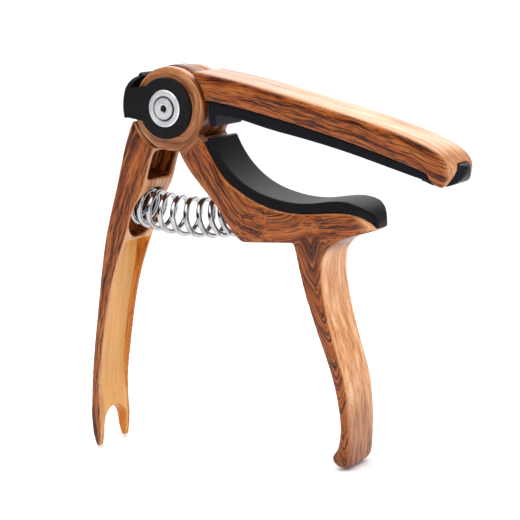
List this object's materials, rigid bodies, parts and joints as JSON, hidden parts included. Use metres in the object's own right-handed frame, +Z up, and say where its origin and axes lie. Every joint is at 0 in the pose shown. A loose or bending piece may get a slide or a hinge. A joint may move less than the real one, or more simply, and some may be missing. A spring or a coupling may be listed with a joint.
{
  "type": "guitar capo",
  "caption": "Spring clamp for a guitar neck: fixed frame with a rubber-lined cradle, sprung lever with a rubber bar, coil spring, pivot and pick holder.",
  "frame": {"origin": "on the ground under the middle of the part's box, where the feet stand", "axes": "+X along the jaws away from the pivot, +Y along the pivot away from the screw's head, +Z up"},
  "size_m": [0.1021, 0.0154, 0.0914],
  "materials": {
    "wood_print_casting": "glossy printed wood grain under clear lacquer",
    "wood_print_lever": "glossy printed wood grain under clear lacquer",
    "pad_rubber": "smooth",
    "cradle_rubber": "smooth",
    "clip_rubber": "matte",
    "spring_chrome": "bright plated",
    "satin_nickel": "satin",
    "screw_steel": "satin",
    "bush_brass": "turned",
    "washer_plastic": "plain"
  },
  "bodies": {
    "frame": {"frame": "wood_print_casting", "cradle_pad": "cradle_rubber", "spring": "spring_chrome", "pick_holder": "clip_rubber", "pivot_barrel": "satin_nickel", "pivot_screw": "screw_steel", "pivot_nut": "satin_nickel"},
    "lever": {"lever": "wood_print_lever", "upper_pad": "pad_rubber", "pivot_bush": "bush_brass", "near_washer": "washer_plastic", "far_washer": "washer_plastic"}
  },
  "joints": [
    {"name": "lever_pivot", "type": "hinge", "parent": "frame", "child": "lever", "pos_m": [-0.0199, 0, 0.0818], "axis": [0, -1, 0], "range_deg": [0, 25], "stiffness_Nm_per_rad": 2.3, "springref_deg": -20.05, "deforming": ["spring"]}
  ]
}
